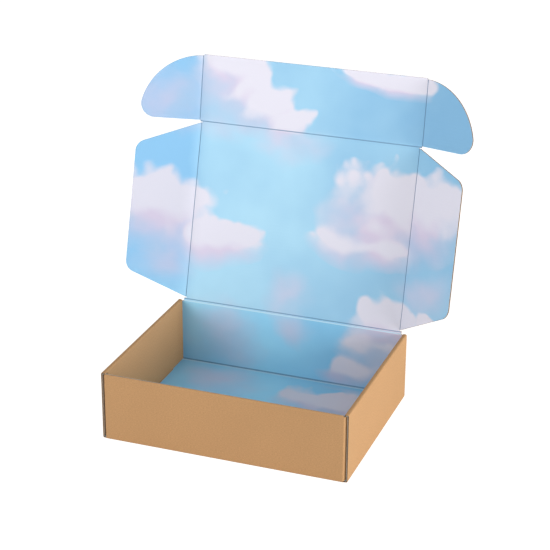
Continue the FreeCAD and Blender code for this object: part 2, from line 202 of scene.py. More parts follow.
# Thin veils of haze, given in the same way
HAZES = (
    (-1.40, 3.70, 0.66, 0.50),
    (-0.98, 3.46, 0.46, 0.24),
    (-0.16, 3.26, 0.50, 0.20),
    (-1.40, 1.96, 0.48, 0.26),
    (-0.06, 1.78, 0.32, 0.30),
    (0.04, 1.46, 0.30, 0.24),
    (1.46, 2.06, 0.44, 0.30),
    (-0.76, 1.24, 0.62, 0.52),
    (-0.56, 0.58, 0.50, 0.34),
)


def number(name, description, default, **options):
    """A setting that holds one number."""
    return bpy.props.FloatProperty(name=name, description=description, default=default, **options)


def three_numbers(name, description, default, subtype="COLOR"):
    """A setting that holds a linear colour, the factors of a painted shade or of painted bounce light, or a
    place.
    """
    return bpy.props.FloatVectorProperty(
        name=name, description=description, subtype=subtype, size=3, default=default
    )


class MailerBoardSettings(bpy.types.PropertyGroup):
    """The board's make-up, in millimetres."""

    liner: number("Liner", "Thickness of each flat liner", 0.2, min=0.1)
    flute_paper: number("Flute paper", "Thickness of the fluted paper", 0.18)
    flute_pitch: number("Flute pitch", "From crest to crest", 3.2, min=1.0)
    crease_depth: number("Crease depth", "How deep a crease is pressed", 0.38)


class MailerColourSettings(bpy.types.PropertyGroup):
    """Colours of the board and of its print, and the tints that paint shade at the left and bounce light in
    the tray.
    """

    kraft: three_numbers("Kraft", "Unprinted brown face", (0.43, 0.243, 0.110))
    flute: three_numbers("Flutes", "Fluted paper seen at the cut edges", (0.30, 0.20, 0.12))
    liner: three_numbers("White liner", "White paper at the print's cut edges", (0.56, 0.52, 0.46))
    sky: three_numbers("Sky", "Pale part of the printed sky", (0.385, 0.645, 0.80))
    deep_sky: three_numbers("Deep sky", "Bluer part of the printed sky", (0.205, 0.43, 0.65))
    cloud: three_numbers("Cloud", "Lit part of the printed clouds", (0.675, 0.66, 0.745))
    cloud_shade: three_numbers("Cloud shade", "Shaded part of the clouds", (0.44, 0.53, 0.69))
    cloud_blush: three_numbers("Cloud blush", "Pink in the clouds' shaded part", (0.61, 0.54, 0.68))
    # Painted shade: dims the clouds at the left, where the left wing and ear stand in less light
    left_painted_shade: three_numbers("Left tint", "Dims the clouds at the left", (0.78, 0.79, 0.80), "NONE")
    # Painted bounce light: tints the sky inside the tray bluer, as light bounced between its printed walls
    # would
    tray_painted_bounce: three_numbers("Tray tint", "Tints the sky inside the tray", (0.90, 1.10, 1.14), "NONE")
    ink_grain: three_numbers("Ink grain", "Fine dark grain of the print", (0.2, 0.3, 0.45))
    # Crushed print: partly crushed ink, partly painted shade in the creases and at the walls' feet
    crushed_ink_and_shade: three_numbers("Crushed print", "Print where a crease crushes it", (0.15, 0.26, 0.40))
    # Painted highlight: paler print at the hinge's lower crease and before the bottom's folds
    painted_crease_highlight: three_numbers("Stretched print", "Print where a crease opens it", (0.50, 0.71, 0.83))


class MailerStageSettings(bpy.types.PropertyGroup):
    """Camera, lamps and floor."""

    azimuth: number("Azimuth", "Camera's way round the box", math.radians(20.137), subtype="ANGLE")
    elevation: number("Elevation", "Camera's height angle", math.radians(22.931), subtype="ANGLE")
    roll: number("Roll", "Camera's turn about its own axis", math.radians(0.358), subtype="ANGLE")
    distance: number("Distance", "Camera to its target", 1.76689, subtype="DISTANCE")
    target: three_numbers(
        "Target", "Point that the camera looks at", (-0.04010, 0.15554, 0.080), "TRANSLATION"
    )
    lens: number("Lens", "Focal length, in millimetres", 112.54)
    front_power: number("Front lamp", "Power of the large lamp before the box", 23.0, subtype="POWER")
    side_power: number("Side lamp", "Power of the low lamp at the right", 47.0, subtype="POWER")
    world_level: number("Surroundings", "Level of the even light from all round", 0.50)
    floor_level: number("Floor glow", "How much of the background's white is the floor's own", 0.78)


def new_material(name, roughness):
    """A node material with its shader's roughness set, and the tree to work in."""
    material = bpy.data.materials.new(name)
    material.use_nodes = True
    tree = material.node_tree
    shader = tree.nodes["Principled BSDF"]
    shader.inputs["Roughness"].default_value = roughness
    shader.inputs["Specular IOR Level"].default_value = 0.25
    return material, tree, shader


def math_node(tree, operation, *values):
    """A Math node's output, from links or plain numbers."""
    node = tree.nodes.new("ShaderNodeMath")
    node.operation = operation
    for socket, value in zip(node.inputs, values):
        if isinstance(value, bpy.types.NodeSocket):
            tree.links.new(value, socket)
        else:
            socket.default_value = value
    return node.outputs[0]


def vector_node(tree, operation, *values):
    """A Vector Math node, from links or plain vectors."""
    node = tree.nodes.new("ShaderNodeVectorMath")
    node.operation = operation
    for socket, value in zip(node.inputs, values):
        if isinstance(value, bpy.types.NodeSocket):
            tree.links.new(value, socket)
        else:
            socket.default_value = value
    return node


def noise(tree, vector, scale, detail, roughness=0.5):
    """A Noise Texture at a place."""
    node = tree.nodes.new("ShaderNodeTexNoise")
    node.inputs["Scale"].default_value = scale
    node.inputs["Detail"].default_value = detail
    node.inputs["Roughness"].default_value = roughness
    tree.links.new(vector, node.inputs["Vector"])
    return node


def soft_step(tree, value, low, high, out_low=0.0, out_high=1.0):
    """A smooth ramp between two values."""
    node = tree.nodes.new("ShaderNodeMapRange")
    node.interpolation_type = "SMOOTHSTEP"
    tree.links.new(value, node.inputs["Value"])
    node.inputs["From Min"].default_value = low
    node.inputs["From Max"].default_value = high
    node.inputs["To Min"].default_value = out_low
    node.inputs["To Max"].default_value = out_high
    return node.outputs["Result"]


def mix_colour(tree, factor, first, second, blend="MIX"):
    """Two colours mixed by a factor; each is a link or a plain colour."""
    node = tree.nodes.new("ShaderNodeMix")
    node.data_type = "RGBA"
    node.blend_type = blend
    for socket, value in ((node.inputs[0], factor), (node.inputs[6], first), (node.inputs[7], second)):
        if isinstance(value, bpy.types.NodeSocket):
            tree.links.new(value, socket)
        elif isinstance(value, float):
            socket.default_value = value
        else:
            socket.default_value = (*value, 1.0)
    return node.outputs[2]


def sheet_place(tree):
    """The place on the flat sheet, in decimetres."""
    node = tree.nodes.new("ShaderNodeAttribute")
    node.attribute_name = "flat"
    scale = (DM_PER_M, DM_PER_M, 0.0)
    return vector_node(tree, "MULTIPLY", node.outputs["Vector"], scale).outputs["Vector"]


def bump(tree, shader, height, strength, distance):
    """Fine relief on a shader."""
    node = tree.nodes.new("ShaderNodeBump")
    node.inputs["Strength"].default_value = strength
    node.inputs["Distance"].default_value = distance
    tree.links.new(height, node.inputs["Height"])
    tree.links.new(node.outputs["Normal"], shader.inputs["Normal"])


def washboard(tree, place, pitch):
    """The flutes' faint ripple in a liner, from 0 to 1."""
    along = tree.nodes.new("ShaderNodeSeparateXYZ")
    tree.links.new(place, along.inputs["Vector"])
    turns = math_node(tree, "MULTIPLY", along.outputs["Y"], 2 * math.pi * MM_PER_DM / pitch)
    wave = math_node(tree, "SINE", turns)
    return math_node(tree, "MULTIPLY_ADD", wave, 0.5, 0.5)


def kraft_material(colours, board):
    """Brown kraft paper: fibres along the flutes, small dark flecks and a faint washboard, bumped and
    painted a little darker along its waves as painted shade.
    """
    material, tree, shader = new_material("kraft_paper", 0.78)
    place = sheet_place(tree)
    stretched = vector_node(tree, "MULTIPLY", place, (1.0, 3.2, 1.0)).outputs["Vector"]
    fibres = noise(tree, stretched, scale=60.0, detail=6.0, roughness=0.62).outputs[0]
    patches = noise(tree, place, scale=1.6, detail=3.0).outputs[0]
    flecks = noise(tree, stretched, scale=170.0, detail=2.0).outputs[0]
    ripple = washboard(tree, place, board.flute_pitch)
    pale, dark, darkest = (tuple(part * share for part in colours.kraft) for share in (1.10, 0.84, 0.52))
    colour = mix_colour(tree, soft_step(tree, fibres, 0.32, 0.68), dark, pale)
    colour = mix_colour(tree, soft_step(tree, patches, 0.3, 0.75, out_high=0.28), colour, dark)
    colour = mix_colour(tree, soft_step(tree, flecks, 0.66, 0.76, out_high=0.45), colour, darkest)
    # Painted shade: the washboard's ripple darkens the colour a little
    colour = mix_colour(tree, soft_step(tree, ripple, 0.0, 1.0, out_high=0.05), colour, dark)
    tree.links.new(colour, shader.inputs["Base Color"])
    height = math_node(tree, "MULTIPLY_ADD", ripple, 0.6, fibres)
    bump(tree, shader, height, strength=0.35, distance=0.00012)
    return material


def cloud_field(tree, place, groups):
    """How deep a place lies in the nearest cloud: one at a cloud's middle and nought at its rim."""
    blend = 0.2
    field = None
    for across, along, width, height in groups:
        offset = vector_node(tree, "SUBTRACT", place, (across, along, 0.0)).outputs["Vector"]
        oval = vector_node(tree, "MULTIPLY", offset, (1 / width, 1 / height, 0.0)).outputs["Vector"]
        reach = vector_node(tree, "LENGTH", oval).outputs["Value"]
        fill = math_node(tree, "SUBTRACT", 1.0, reach)
        field = fill if field is None else math_node(tree, "SMOOTH_MAX", field, fill, blend)
    return field


def cloud_lumps(tree, place):
    """Round heads of cloud: nought at the middle of each, more towards the gaps."""
    lumps = tree.nodes.new("ShaderNodeTexVoronoi")
    lumps.feature = "SMOOTH_F1"
    for name, value in (("Scale", 4.2), ("Detail", 1.0), ("Roughness", 0.5), ("Smoothness", 0.75)):
        lumps.inputs[name].default_value = value
    tree.links.new(place, lumps.inputs["Vector"])
    return lumps.outputs["Distance"]


def wander(tree, place):
    """A place shifted by slow noise, so that ovals come out uneven."""
    swirl = noise(tree, place, scale=1.1, detail=3.0).outputs["Color"]
    drift = vector_node(tree, "SUBTRACT", swirl, (0.5, 0.5, 0.5)).outputs["Vector"]
    drift = vector_node(tree, "MULTIPLY", drift, (0.60, 0.42, 0.0)).outputs["Vector"]
    return vector_node(tree, "ADD", place, drift).outputs["Vector"]


def haze_at(tree, wandered, wisps):
    """Thin veils of cloud without an edge."""
    torn = math_node(tree, "MULTIPLY_ADD", wisps, 1.2, -0.6)
    veil = math_node(tree, "ADD", cloud_field(tree, wandered, HAZES), torn)
    return soft_step(tree, veil, 0.0, 1.0, out_high=0.62)


def clouds_at(tree, wandered, wisps):
    """The clouds' cover, and how lit they are: crisp and bright on top, soft and dim underneath."""
    # The crown is above nought near a cloud's top and below it near its underside
    higher = vector_node(tree, "ADD", wandered, (0.05, 0.15, 0.0)).outputs["Vector"]
    field = cloud_field(tree, wandered, CLOUDS)
    crown = math_node(tree, "SUBTRACT", field, cloud_field(tree, higher, CLOUDS))
    underside = -0.25

    # Lumps bite into the top, wisps fray every rim, and nothing stands far outside the ovals
    lumps = cloud_lumps(tree, wandered)
    rough = soft_step(tree, crown, underside, 0.20, out_low=-0.10, out_high=-0.55)
    density = math_node(tree, "MULTIPLY_ADD", lumps, rough, field)
    density = math_node(tree, "ADD", density, math_node(tree, "MULTIPLY_ADD", wisps, 0.45, 0.08))
    density = math_node(tree, "MINIMUM", density, math_node(tree, "MULTIPLY_ADD", field, 3.2, 0.34))
    softness = soft_step(tree, crown, underside, 0.22, out_low=0.90, out_high=0.24)
    cover = soft_step(tree, math_node(tree, "DIVIDE", density, softness), 0.0, 1.0)

    # The light falls off towards the underside and between the lumps
    folds = math_node(tree, "MULTIPLY_ADD", wisps, 0.9, -0.45)
    height = math_node(tree, "ADD", crown, folds)
    light = soft_step(tree, math_node(tree, "MULTIPLY_ADD", lumps, -0.25, height), -0.48, 0.06)
    return cover, light


def print_material(colours, name="printed_sky"):
    """Matt ink on a white liner, a pale sky with soft clouds, with painted shade and painted bounce light
    mixed in; the caller links its colour.
    """
    material, tree, shader = new_material(name, 0.55)
    place = sheet_place(tree)
    wandered = wander(tree, place)
    wisps = noise(tree, place, scale=2.4, detail=4.0, roughness=0.45).outputs[0]
    cover, light = clouds_at(tree, wandered, wisps)

    # The left wing and ear, the right half, the tuck flap and the tray each have their own tone, partly
    # printed and partly painted shade or painted bounce light
    part_of = tree.nodes.new("ShaderNodeSeparateXYZ")
    tree.links.new(place, part_of.inputs["Vector"])
    across, along = part_of.outputs["X"], part_of.outputs["Y"]
    leftwards = soft_step(tree, across, -1.0, -1.3, out_high=0.8)
    rightwards = soft_step(tree, across, -0.1, 0.7, out_high=0.45)
    upwards = soft_step(tree, along, 3.36, 3.46, out_high=0.22)
    # Inside the tray, where the painted bounce light goes
    inside = soft_step(tree, along, 1.62, 1.56)

    blush = noise(tree, place, scale=1.3, detail=3.0).outputs[0]
    shade = mix_colour(tree, soft_step(tree, blush, 0.36, 0.54), colours.cloud_shade, colours.cloud_blush)
    # Painted shade: the clouds and their shaded part are dimmed towards the left
    shade = mix_colour(tree, leftwards, shade, colours.left_painted_shade, "MULTIPLY")
    lit = mix_colour(tree, leftwards, colours.cloud, colours.left_painted_shade, "MULTIPLY")
    cloud = mix_colour(tree, light, shade, lit)

    gaps = noise(tree, place, scale=0.9, detail=3.0).outputs[0]
    deep = math_node(tree, "MULTIPLY", soft_step(tree, gaps, 0.30, 0.72), 0.45)
    # The sky is deeper at the left, at the right and on the tuck flap: partly its print, partly painted
    # shade
    for deeper in (leftwards, rightwards, upwards):
        deep = math_node(tree, "ADD", deep, deeper)
    sky = mix_colour(tree, math_node(tree, "MINIMUM", deep, 1.0), colours.sky, colours.deep_sky)
    # Painted bounce light: the sky inside the tray is tinted bluer
    sky = mix_colour(tree, inside, sky, colours.tray_painted_bounce, "MULTIPLY")
    veiled = mix_colour(tree, haze_at(tree, wandered, wisps), sky, shade)
    colour = mix_colour(tree, cover, veiled, cloud)

    grain = noise(tree, place, scale=260.0, detail=2.0).outputs[0]
    colour = mix_colour(tree, soft_step(tree, grain, 0.3, 0.8, out_high=0.05), colour, colours.ink_grain)
    return material, tree, shader, colour, grain


def sky_material(colours, board):
    """The printed face of the inner liner."""
    material, tree, shader, colour, grain = print_material(colours)
    tree.links.new(colour, shader.inputs["Base Color"])
    ripple = washboard(tree, sheet_place(tree), board.flute_pitch)
    height = math_node(tree, "MULTIPLY_ADD", ripple, 0.8, grain)
    bump(tree, shader, height, strength=0.25, distance=0.0001)
    return material


def creased_sky_material(colours):
    """The print along a crease: darker where it is crushed and in painted shade, and paler where a painted
    highlight lies.
    """
    material, tree, shader, colour, grain = print_material(colours, "creased_sky")
    node = tree.nodes.new("ShaderNodeAttribute")
    node.attribute_name = "groove"
    groove = node.outputs["Fac"]
    # Painted highlight where the groove is negative
    pale = soft_step(tree, groove, PAINTED_HIGHLIGHT, 0.0, out_low=0.75, out_high=0.0)
    colour = mix_colour(tree, pale, colour, colours.painted_crease_highlight)
    # Darker print in the crease: partly crushed ink, partly painted shade
    dark = soft_step(tree, groove, 0.05, 0.5, out_high=0.78)
    colour = mix_colour(tree, dark, colour, colours.crushed_ink_and_shade)
    tree.links.new(colour, shader.inputs["Base Color"])
    bump(tree, shader, grain, strength=0.3, distance=0.0001)
    return material


def paper_material(name, colour, scale):
    """Bare paper at the cut edges, with short fibres."""
    material, tree, shader = new_material(name, 0.85)
    place = sheet_place(tree)
    fibres = noise(tree, place, scale, detail=4.0).outputs[0]
    dark = tuple(part * 0.78 for part in colour)
    mottled = mix_colour(tree, soft_step(tree, fibres, 0.35, 0.65), dark, tuple(colour))
    tree.links.new(mottled, shader.inputs["Base Color"])
    bump(tree, shader, fibres, strength=0.3, distance=0.0001)
    return material


def seen_directly(tree):
    """One for rays that show the background itself, and nought for rays that light the box."""
    rays = tree.nodes.new("ShaderNodeLightPath").outputs
    shown = math_node(tree, "MAXIMUM", rays["Is Camera Ray"], rays["Is Glossy Ray"])
    return math_node(tree, "MAXIMUM", shown, rays["Is Transmission Ray"])


def floor_material(settings):
    """A matt white floor that shows as a white background and keeps the box's soft shadow."""
    material, tree, shader = new_material("pale_floor", 0.9)
    shown = seen_directly(tree)
    lighting, seen = (0.9, 0.9, 0.9), (0.5, 0.5, 0.5)
    colour = mix_colour(tree, shown, lighting, seen)
    tree.links.new(colour, shader.inputs["Base Color"])
    shader.inputs["Emission Color"].default_value = (1, 1, 1, 1)
    glow = math_node(tree, "MULTIPLY", shown, settings.floor_level)
    tree.links.new(glow, shader.inputs["Emission Strength"])
    return material


def board_materials():
    """The board's materials, made once and then found by name."""
    scene = bpy.context.scene
    board, colours = scene.mailer_board, scene.mailer_colours
    if "kraft_paper" not in bpy.data.materials:
        kraft_material(colours, board)
        sky_material(colours, board)
        creased_sky_material(colours)
        paper_material("white_liner", colours.liner, scale=120.0)
        paper_material("fluted_paper", colours.flute, scale=90.0)
    return [bpy.data.materials[name] for name in
            ("kraft_paper", "printed_sky", "white_liner", "fluted_paper", "creased_sky")]


def score(sheet, point, normal, trim=False):
    """Score a flat sheet along a line, or trim off what lies beyond it."""
    geometry = sheet.verts[:] + sheet.edges[:] + sheet.faces[:]
    near_enough = 1e-5
    bmesh.ops.bisect_plane(
        sheet, geom=geometry, dist=near_enough, plane_co=point, plane_no=normal, clear_outer=trim
    )


def rectangle(left, right, low, high, rows=1):
    """A flat rectangular sheet, divided into rows."""
    sheet = bmesh.new()
    bmesh.ops.create_grid(sheet, x_segments=1, y_segments=rows, size=0.5)
    bmesh.ops.scale(sheet, vec=(right - left, high - low, 1), verts=sheet.verts)
    bmesh.ops.translate(sheet, vec=((left + right) / 2, (low + high) / 2, 0), verts=sheet.verts)
    return sheet


def cut_out(sheet, across, along, keep):
    """Score a sheet along every line and drop the fields that keep refuses."""
    for place in across:
        score(sheet, (place, 0, 0), (1, 0, 0))
    for place in along:
        score(sheet, (0, place, 0), (0, 1, 0))
    waste = [face for face in sheet.faces if not keep(*face.calc_center_median().xy)]
    bmesh.ops.delete(sheet, geom=waste, context="FACES")
    return sheet


def flute(sheet, board):
    """Press waves into a sheet that is divided into rows."""
    height = HALF_BOARD - board.liner - board.flute_paper / 2
    for vert in sheet.verts:
        vert.co.z = height * math.sin(2 * math.pi * vert.co.y / board.flute_pitch)
    return sheet


def flute_rows(low, high, board):
    """How many rows a sheet needs so that each of its waves is drawn with enough steps."""
    return max(FLUTE_STEPS, round(FLUTE_STEPS * (high - low) / board.flute_pitch))


def lay(pile, sheet, low, high, material, face_material=None):
    """Put a sheet into a pile, thickened between two heights; its top face may differ."""
    before = len(pile.faces)
    carrier = bpy.data.meshes.new("carrier")
    sheet.to_mesh(carrier)
    pile.from_mesh(carrier)
    bpy.data.meshes.remove(carrier)
    pile.faces.ensure_lookup_table()
    faces = pile.faces[before:]
    verts = list({vert for face in faces for vert in face.verts})
    bmesh.ops.translate(pile, verts=verts, vec=(0, 0, low))
    raised = bmesh.ops.extrude_face_region(pile, geom=faces)["geom"]
    top = [item for item in raised if isinstance(item, bmesh.types.BMVert)]
    bmesh.ops.translate(pile, verts=top, vec=(0, 0, high - low))
    pile.faces.ensure_lookup_table()
    for face in pile.faces[before:]:
        face.material_index = material
    if face_material is not None:
        for item in raised:
            if isinstance(item, bmesh.types.BMFace):
                item.material_index = face_material


def corrugate(sheet, waves, board, face=PRINT):
    """Glue a kraft liner, a fluted paper and a white liner, mostly printed, into one board."""
    pile = bmesh.new()
    lay(pile, sheet, -HALF_BOARD, board.liner - HALF_BOARD, KRAFT)
    lay(pile, waves, -board.flute_paper / 2, board.flute_paper / 2, FLUTE)
    lay(pile, sheet, HALF_BOARD - board.liner, HALF_BOARD, LINER, face)
    sheet.free()
    waves.free()
    return pile


def press_print_and_paint_light(pile, profile):
    """Darken a board's print, partly crushed and partly painted shade, or give it a painted highlight, by
    its distance along Y, and mark it as creased.
    """
    groove = pile.verts.layers.float.new("groove")
    for vert in pile.verts:
        place = abs(vert.co.y)
        for (low, low_groove), (high, high_groove) in zip(profile, profile[1:]):
            if low <= place <= high:
                share = (place - low) / (high - low)
                vert[groove] = low_groove + (high_groove - low_groove) * share
    for face in pile.faces:
        if face.material_index == PRINT and any(vert[groove] != 0 for vert in face.verts):
            face.material_index = CREASED


def folded(reach, out, folds):
    """Where a point of a strip comes to lie when the strip is folded towards its print.

    Each fold is its start along the strip, the radius of the board's middle and its angle."""
    along, lift = reach, out
    for start, radius, angle in reversed(folds):
        if reach <= start:
            continue
        length = radius * angle
        if reach < start + length:
            turn = (reach - start) / radius
            along = start + (radius - out) * math.sin(turn)
            lift = radius - (radius - out) * math.cos(turn)
        else:
            rest = along - start - length
            sine, cosine = math.sin(angle), math.cos(angle)
            along = start + radius * sine + rest * cosine - lift * sine
            lift = radius - radius * cosine + rest * sine + lift * cosine
    return along, lift


def fold_lines(folds):
    """Where a strip is scored so that its folds come out round."""
    lines = []
    for start, radius, angle in folds:
        for step in range(FOLD_STEPS + 1):
            lines.append(start + radius * angle * step / FOLD_STEPS)
    return lines


def front_folds():
    """The front corners' folds: round the corner, out to the side wall and along it."""
    (corner, outward), (corner_radius, outward_radius) = FRONT_BENDS, FRONT_RADII
    sideways = FLAP_OUTSIDE - HALF_BOARD - FRONT_FOLD - corner_radius * math.sin(corner)
    straight = (sideways - outward_radius * (1 - math.sin(corner))) / math.cos(corner)
    second = FRONT_FOLD + corner_radius * corner + straight
    return [(FRONT_FOLD, corner_radius, corner), (second, outward_radius, outward)]


def finish_piece(pile, name, body, printed, placed, replaced=()):
    """Note each point's place on the flat sheet, put the board in place and make its object."""
    flat = pile.verts.layers.float_vector.new("flat")
    for vert in pile.verts:
        across, along = printed(vert.co)
        vert[flat] = Vector((across, along, vert.co.z)) * MM
        vert.co = placed(vert.co)
    bmesh.ops.scale(pile, vec=(MM, MM, MM), verts=pile.verts)
    bmesh.ops.recalc_face_normals(pile, faces=pile.faces)
    mesh = bpy.data.meshes.new(name)
    pile.to_mesh(mesh)
    pile.free()
    for material in board_materials():
        mesh.materials.append(material)
    piece = bpy.data.objects.new(name, mesh)
    bpy.context.scene.collection.objects.link(piece)
    if body:
        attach(piece, body)
    if replaced:
        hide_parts(*replaced)
    return piece


def rest_bend(name):
    """How far a fold is bent towards the print at rest; its joint's range starts at a right angle."""
    return math.radians(90 + JOINTS[name]["range_deg"][0])


def panel_matrix(origin, up):
    """A panel's own frame: X across, Y up the panel and Z out of its print."""
    across = Vector((1, 0, 0))
    along = Vector(up).normalized()
    out = across.cross(along)
    matrix = Matrix((across, along, out)).transposed().to_4x4()
    matrix.translation = origin
    return matrix


def lid_matrix():
    """The lid's frame, from its upper crease."""
    return panel_matrix(joint_place("lid_upper_crease"), -Vector(JOINTS["left_wing_fold"]["axis"]))


def tuck_matrix():
    """The tuck flap's frame, from its fold."""
    return panel_matrix(joint_place("tuck_fold"), -Vector(JOINTS["left_ear_fold"]["axis"]))


def strip_matrix():
    """The hinge strip's frame, from its lower crease."""
    low, high = joint_place("lid_lower_crease"), joint_place("lid_upper_crease")
    return panel_matrix(low, high - low)


def side_matrix(carrier, axis_place, side, bend):
    """The frame of a flap at the side of its carrier, bent towards the print."""
    turned = Matrix.Rotation(-side * bend, 4, "Y")
    return carrier @ Matrix.Translation((side * axis_place, 0, 0)) @ turned


class MAILER_OT_bottom(bpy.types.Operator):
    """Make the bottom panel, with its slots and the folds to the front and back walls"""

    bl_idname = "mailer.bottom"
    bl_label = "Bottom panel"

    def execute(self, context):
        board = context.scene.mailer_board
        straight = FLAP_OUTSIDE - CORNER_RADIUS
        folds = [(HALF_DEPTH - BOARD - PLAY, HALF_BOARD + PLAY, math.pi / 2)]
        reach = folds[0][0] + folds[0][1] * folds[0][2]
        bends = fold_lines(folds)
        across = [side * place for side in (-1, 1)
                  for place in (straight, SLOT_INNER - SLOT_FRAY, SLOT_INNER, SLOT_OUTER)]
        start = bends[0]
        # Before each fold the bottom's print takes a painted highlight, then darkens, partly crushed and
        # partly painted shade
        profile = ((start - HIGHLIGHT_START, 0), (start - HIGHLIGHT_FULL, PAINTED_HIGHLIGHT),
                   (start - HIGHLIGHT_STOP, PAINTED_HIGHLIGHT), (start - CRUSH_AND_SHADE_START, CRUSHED_AND_SHADED),
                   (math.inf, CRUSHED_AND_SHADED))
        pressed = [place for place, groove in profile[:-1]]
        along = [side * place for side in (-1, 1)
                 for place in (SLOT_NEAR, SLOT_FAR, SIDE_END, *pressed, *bends)]

        def keep(x, y):
            if abs(x) > straight and abs(y) > SIDE_END:
                return False
            in_slot = SLOT_INNER < abs(x) < SLOT_OUTER and SLOT_NEAR < abs(y) < SLOT_FAR
            return not in_slot

        sheet = cut_out(rectangle(-FLAP_OUTSIDE, FLAP_OUTSIDE, -reach, reach), across, along, keep)
        rows = flute_rows(-bends[0], bends[0], board)
        waves = flute(rectangle(-SLOT_INNER, SLOT_INNER, -bends[0], bends[0], rows), board)

        def placed(point):
            along, lift = folded(abs(point.y), point.z, folds)
            return Vector((point.x, math.copysign(along, point.y), HALF_BOARD + lift))

        pile = corrugate(sheet, waves, board)
        press_print_and_paint_light(pile, profile)
        for face in pile.faces:
            x, y, z = face.calc_center_median()
            beside_slot = SLOT_INNER - SLOT_FRAY < abs(x) < SLOT_INNER and SLOT_NEAR < abs(y) < SLOT_FAR
            if beside_slot and face.material_index == PRINT:
                face.material_index = LINER
        finish_piece(pile, "bottom_panel", "tray", lambda point: (point.x, point.y), placed, ["tray"])
        return {"FINISHED"}


class MAILER_OT_walls(bpy.types.Operator):
    """Make the front and back walls with their corner flaps"""

    bl_idname = "mailer.walls"
    bl_label = "Front and back walls"

    def wall(self, context, name, side, top):
        """Make one wall, with a corner flap folded inwards at each end."""
        board = context.scene.mailer_board
        radius = CORNER_RADIUS - HALF_BOARD
        start = FLAP_OUTSIDE - CORNER_RADIUS
        folds = front_folds() if side < 0 else [(start, radius, math.pi / 2)]
        last_start, last_radius, last_angle = folds[-1]
        depth = folded(last_start + last_radius * last_angle, 0, folds)[1]
        reach = last_start + last_radius * last_angle + HALF_DEPTH - HALF_BOARD - depth - FLAP_END
        foot = BOARD + PLAY
        # The wall's foot is darker: partly crushed print, partly painted shade where it meets the bottom
        crushed_and_shaded_end = foot + CRUSH_AND_SHADE_HEIGHT
        profile = ((0, CRUSHED_AND_SHADED), (crushed_and_shaded_end, CRUSHED_AND_SHADED), (crushed_and_shaded_end + CRUSH_AND_SHADE_FADE, 0))
        lines = [INNER_FOOT, FLAP_TOP, *(place for place, groove in profile[1:])]
        bends = [sign * line for sign in (-1, 1) for line in (*fold_lines(folds), WALL_END)]

        def keep(x, z):
            return abs(x) < WALL_END or (z < FLAP_TOP and (abs(x) < start or z > INNER_FOOT))

        sheet = cut_out(rectangle(-reach, reach, foot, top), bends, lines, keep)
        rows = flute_rows(foot, top, board)
        waves = cut_out(flute(rectangle(-reach, reach, foot, top, rows), board),
                        bends, [INNER_FOOT, FLAP_TOP], keep)

        def placed(point):
            along, lift = folded(abs(point.x), point.z, folds)
            across = math.copysign(along, point.x)
            return Vector((across, side * (HALF_DEPTH - HALF_BOARD - lift), point.y))

        def printed(point):
            return point.x, side * (BACK_START + point.y)

        pile = corrugate(sheet, waves, board)
        press_print_and_paint_light(pile, profile)
        finish_piece(pile, name, "tray", printed, placed, ["tray"])

    def execute(self, context):
        hinge_height = joint_place("lid_lower_crease").z - CREASE
        self.wall(context, "front_wall", -1, FRONT_TOP)
        self.wall(context, "back_wall", 1, hinge_height)
        return {"FINISHED"}


class MAILER_OT_sides(bpy.types.Operator):
    """Make the double side walls: outer panel, ridge and inner panel with its tabs"""

    bl_idname = "mailer.sides"
    bl_label = "Side walls"

    def execute(self, context):
        board = context.scene.mailer_board
        radius = HALF_BOARD + PLAY
        turn = radius * math.pi / 2
        outer = radius + HALF_BOARD
        rise = HEIGHT - 2 * outer
        ridge = HALF_WIDTH - INNER_FACE - 2 * outer
        second = turn + rise
        third = second + turn + ridge
        folds = [(0.0, radius, math.pi / 2), (second, radius, math.pi / 2), (third, radius, math.pi / 2)]
        foot = third + turn + HEIGHT - outer - INNER_FOOT
        reach = foot + INNER_FOOT - TAB_END
        bends = [*fold_lines(folds)[1:], foot]
        inner = third + turn
        along = [side * place for side in (-1, 1) for place in (TAB_NEAR, TAB_FAR)]
        along.append(-INNER_FRONT)

        def keep(x, y):
            if x > inner and y < -INNER_FRONT:
                return False
            return x < foot or TAB_NEAR < abs(y) < TAB_FAR

        for side, name in ((-1, "left_side"), (1, "right_side")):
            sheet = cut_out(rectangle(0, reach, -SIDE_END, SIDE_END), bends, along, keep)
            rows = flute_rows(-SIDE_END, SIDE_END, board)
            waves = cut_out(flute(rectangle(0, reach, -SIDE_END, SIDE_END, rows), board),
                            bends, along, keep)

            def placed(point, side=side):
                along, lift = folded(point.x, point.z, folds)
                return Vector((side * (HALF_WIDTH - outer + along), point.y, HALF_BOARD + lift))

            def printed(point, side=side):
                return side * (FLAP_OUTSIDE + point.x), point.y

            pile = corrugate(sheet, waves, board, LINER)
            finish_piece(pile, name, "tray", printed, placed, ["tray"])
        return {"FINISHED"}


def flat_panel(name, body, sheet, box, matrix, printed):
    """A flat board of the lid: a convex outline, and flutes trimmed from its box to fit it."""
    board = bpy.context.scene.mailer_board
    waves = flute(rectangle(*box, flute_rows(*box[2:], board)), board)
    middle = sum((vert.co for vert in sheet.verts), Vector()) / len(sheet.verts)
    for edge in sheet.edges:
        if not edge.is_boundary:
            continue
        start, finish = (vert.co for vert in edge.verts)
        normal = (finish - start).cross(Vector((0, 0, 1)))
        if normal.dot(start - middle) < 0:
            normal.negate()
        score(waves, start, normal, trim=True)
    pile = corrugate(sheet, waves, board)
    finish_piece(pile, name, body, printed, lambda point: matrix @ point, [body])


